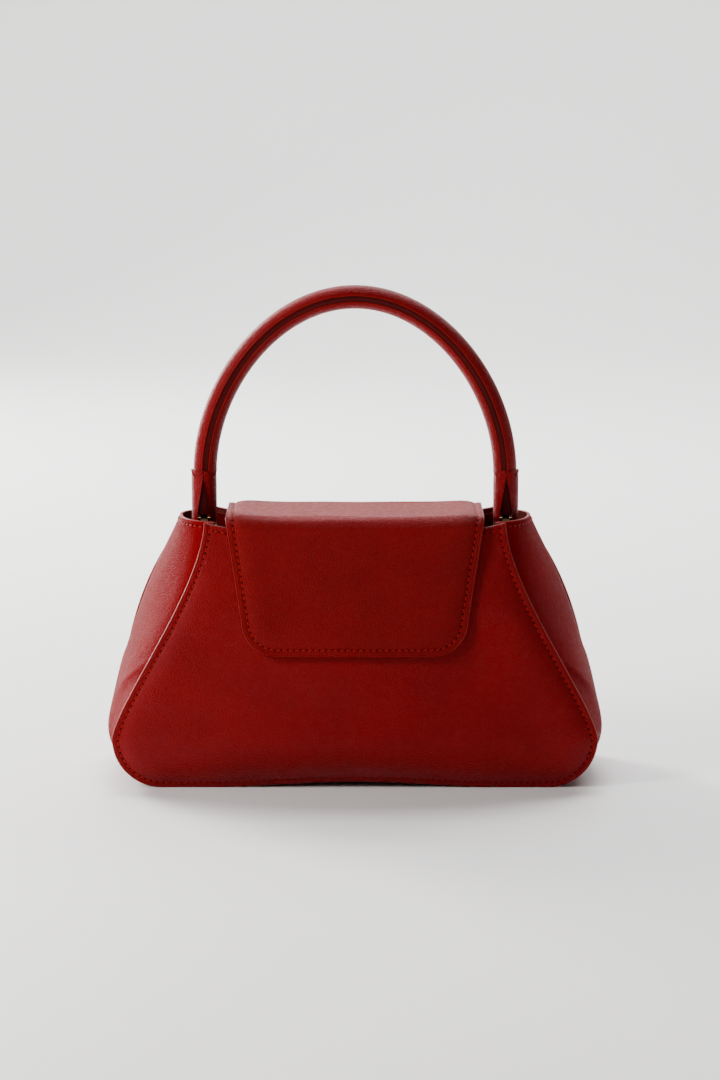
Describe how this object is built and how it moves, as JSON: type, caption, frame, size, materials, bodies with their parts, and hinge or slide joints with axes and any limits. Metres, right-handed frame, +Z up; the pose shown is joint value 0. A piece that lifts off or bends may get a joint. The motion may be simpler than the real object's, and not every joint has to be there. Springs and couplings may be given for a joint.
{
  "type": "trapeze handbag",
  "caption": "Small trapeze handbag with flared leather panels, bellied side gussets, a short front flap and a rolled arch handle on brass pivots.",
  "frame": {"origin": "centre of the footprint on the floor, under the middle of the bag", "axes": "+Z up, +X to the right seen from the front, the front panel and flap face -Y"},
  "size_m": [0.2488, 0.09, 0.2453],
  "materials": {
    "leather": "satin, fine grain",
    "dark_leather": "satin",
    "lining": "matte suede",
    "stiffener": "matte bonded leather board",
    "board": "matte fibre board",
    "cord": "matte cotton cord",
    "brass": "polished"
  },
  "bodies": {
    "bag_body": {"front_panel": "leather", "back_panel": "leather", "left_gusset": "leather", "right_gusset": "leather", "base_panel": "leather", "front_stiffener": "stiffener", "back_stiffener": "stiffener", "base_board": "board", "front_lining": "lining", "back_lining": "lining", "left_gusset_lining": "lining", "right_gusset_lining": "lining", "base_lining": "lining", "front_facing": "leather", "back_facing": "leather", "slip_pocket": "lining", "flap_root": "leather", "snap_socket": "brass", "snap_washer": "brass", "left_lug": "brass", "right_lug": "brass", "left_patch": "leather", "right_patch": "leather", "left_rivets": "brass", "right_rivets": "brass"},
    "handle": {"handle_core": "cord", "handle_wrap": "dark_leather", "handle_outer_cover": "leather", "handle_inner_cover": "leather", "left_outer_tab": "leather", "left_inner_tab": "leather", "right_outer_tab": "leather", "right_inner_tab": "leather", "left_pin": "brass", "right_pin": "brass", "pin_caps": "brass", "pivot_washers": "brass"},
    "flap_top": {"flap_bridge": "leather", "flap_bridge_lining": "lining"},
    "flap_panel": {"flap_front": "leather", "flap_front_lining": "lining", "snap_stud": "brass"}
  },
  "joints": [
    {"name": "handle_swing", "type": "hinge", "parent": "bag_body", "child": "handle", "pos_m": [0, 0, 0.125], "axis": [1, 0, 0], "range_deg": [-38, 38]},
    {"name": "flap_bridge_lift", "type": "hinge", "parent": "bag_body", "child": "flap_top", "pos_m": [0, 0.0293, 0.1266], "axis": [-1, 0, 0], "range_deg": [0, 35]},
    {"name": "flap_front_lift", "type": "hinge", "parent": "flap_top", "child": "flap_panel", "pos_m": [0, -0.0293, 0.1266], "axis": [-1, 0, 0], "range_deg": [0, 120]}
  ]
}
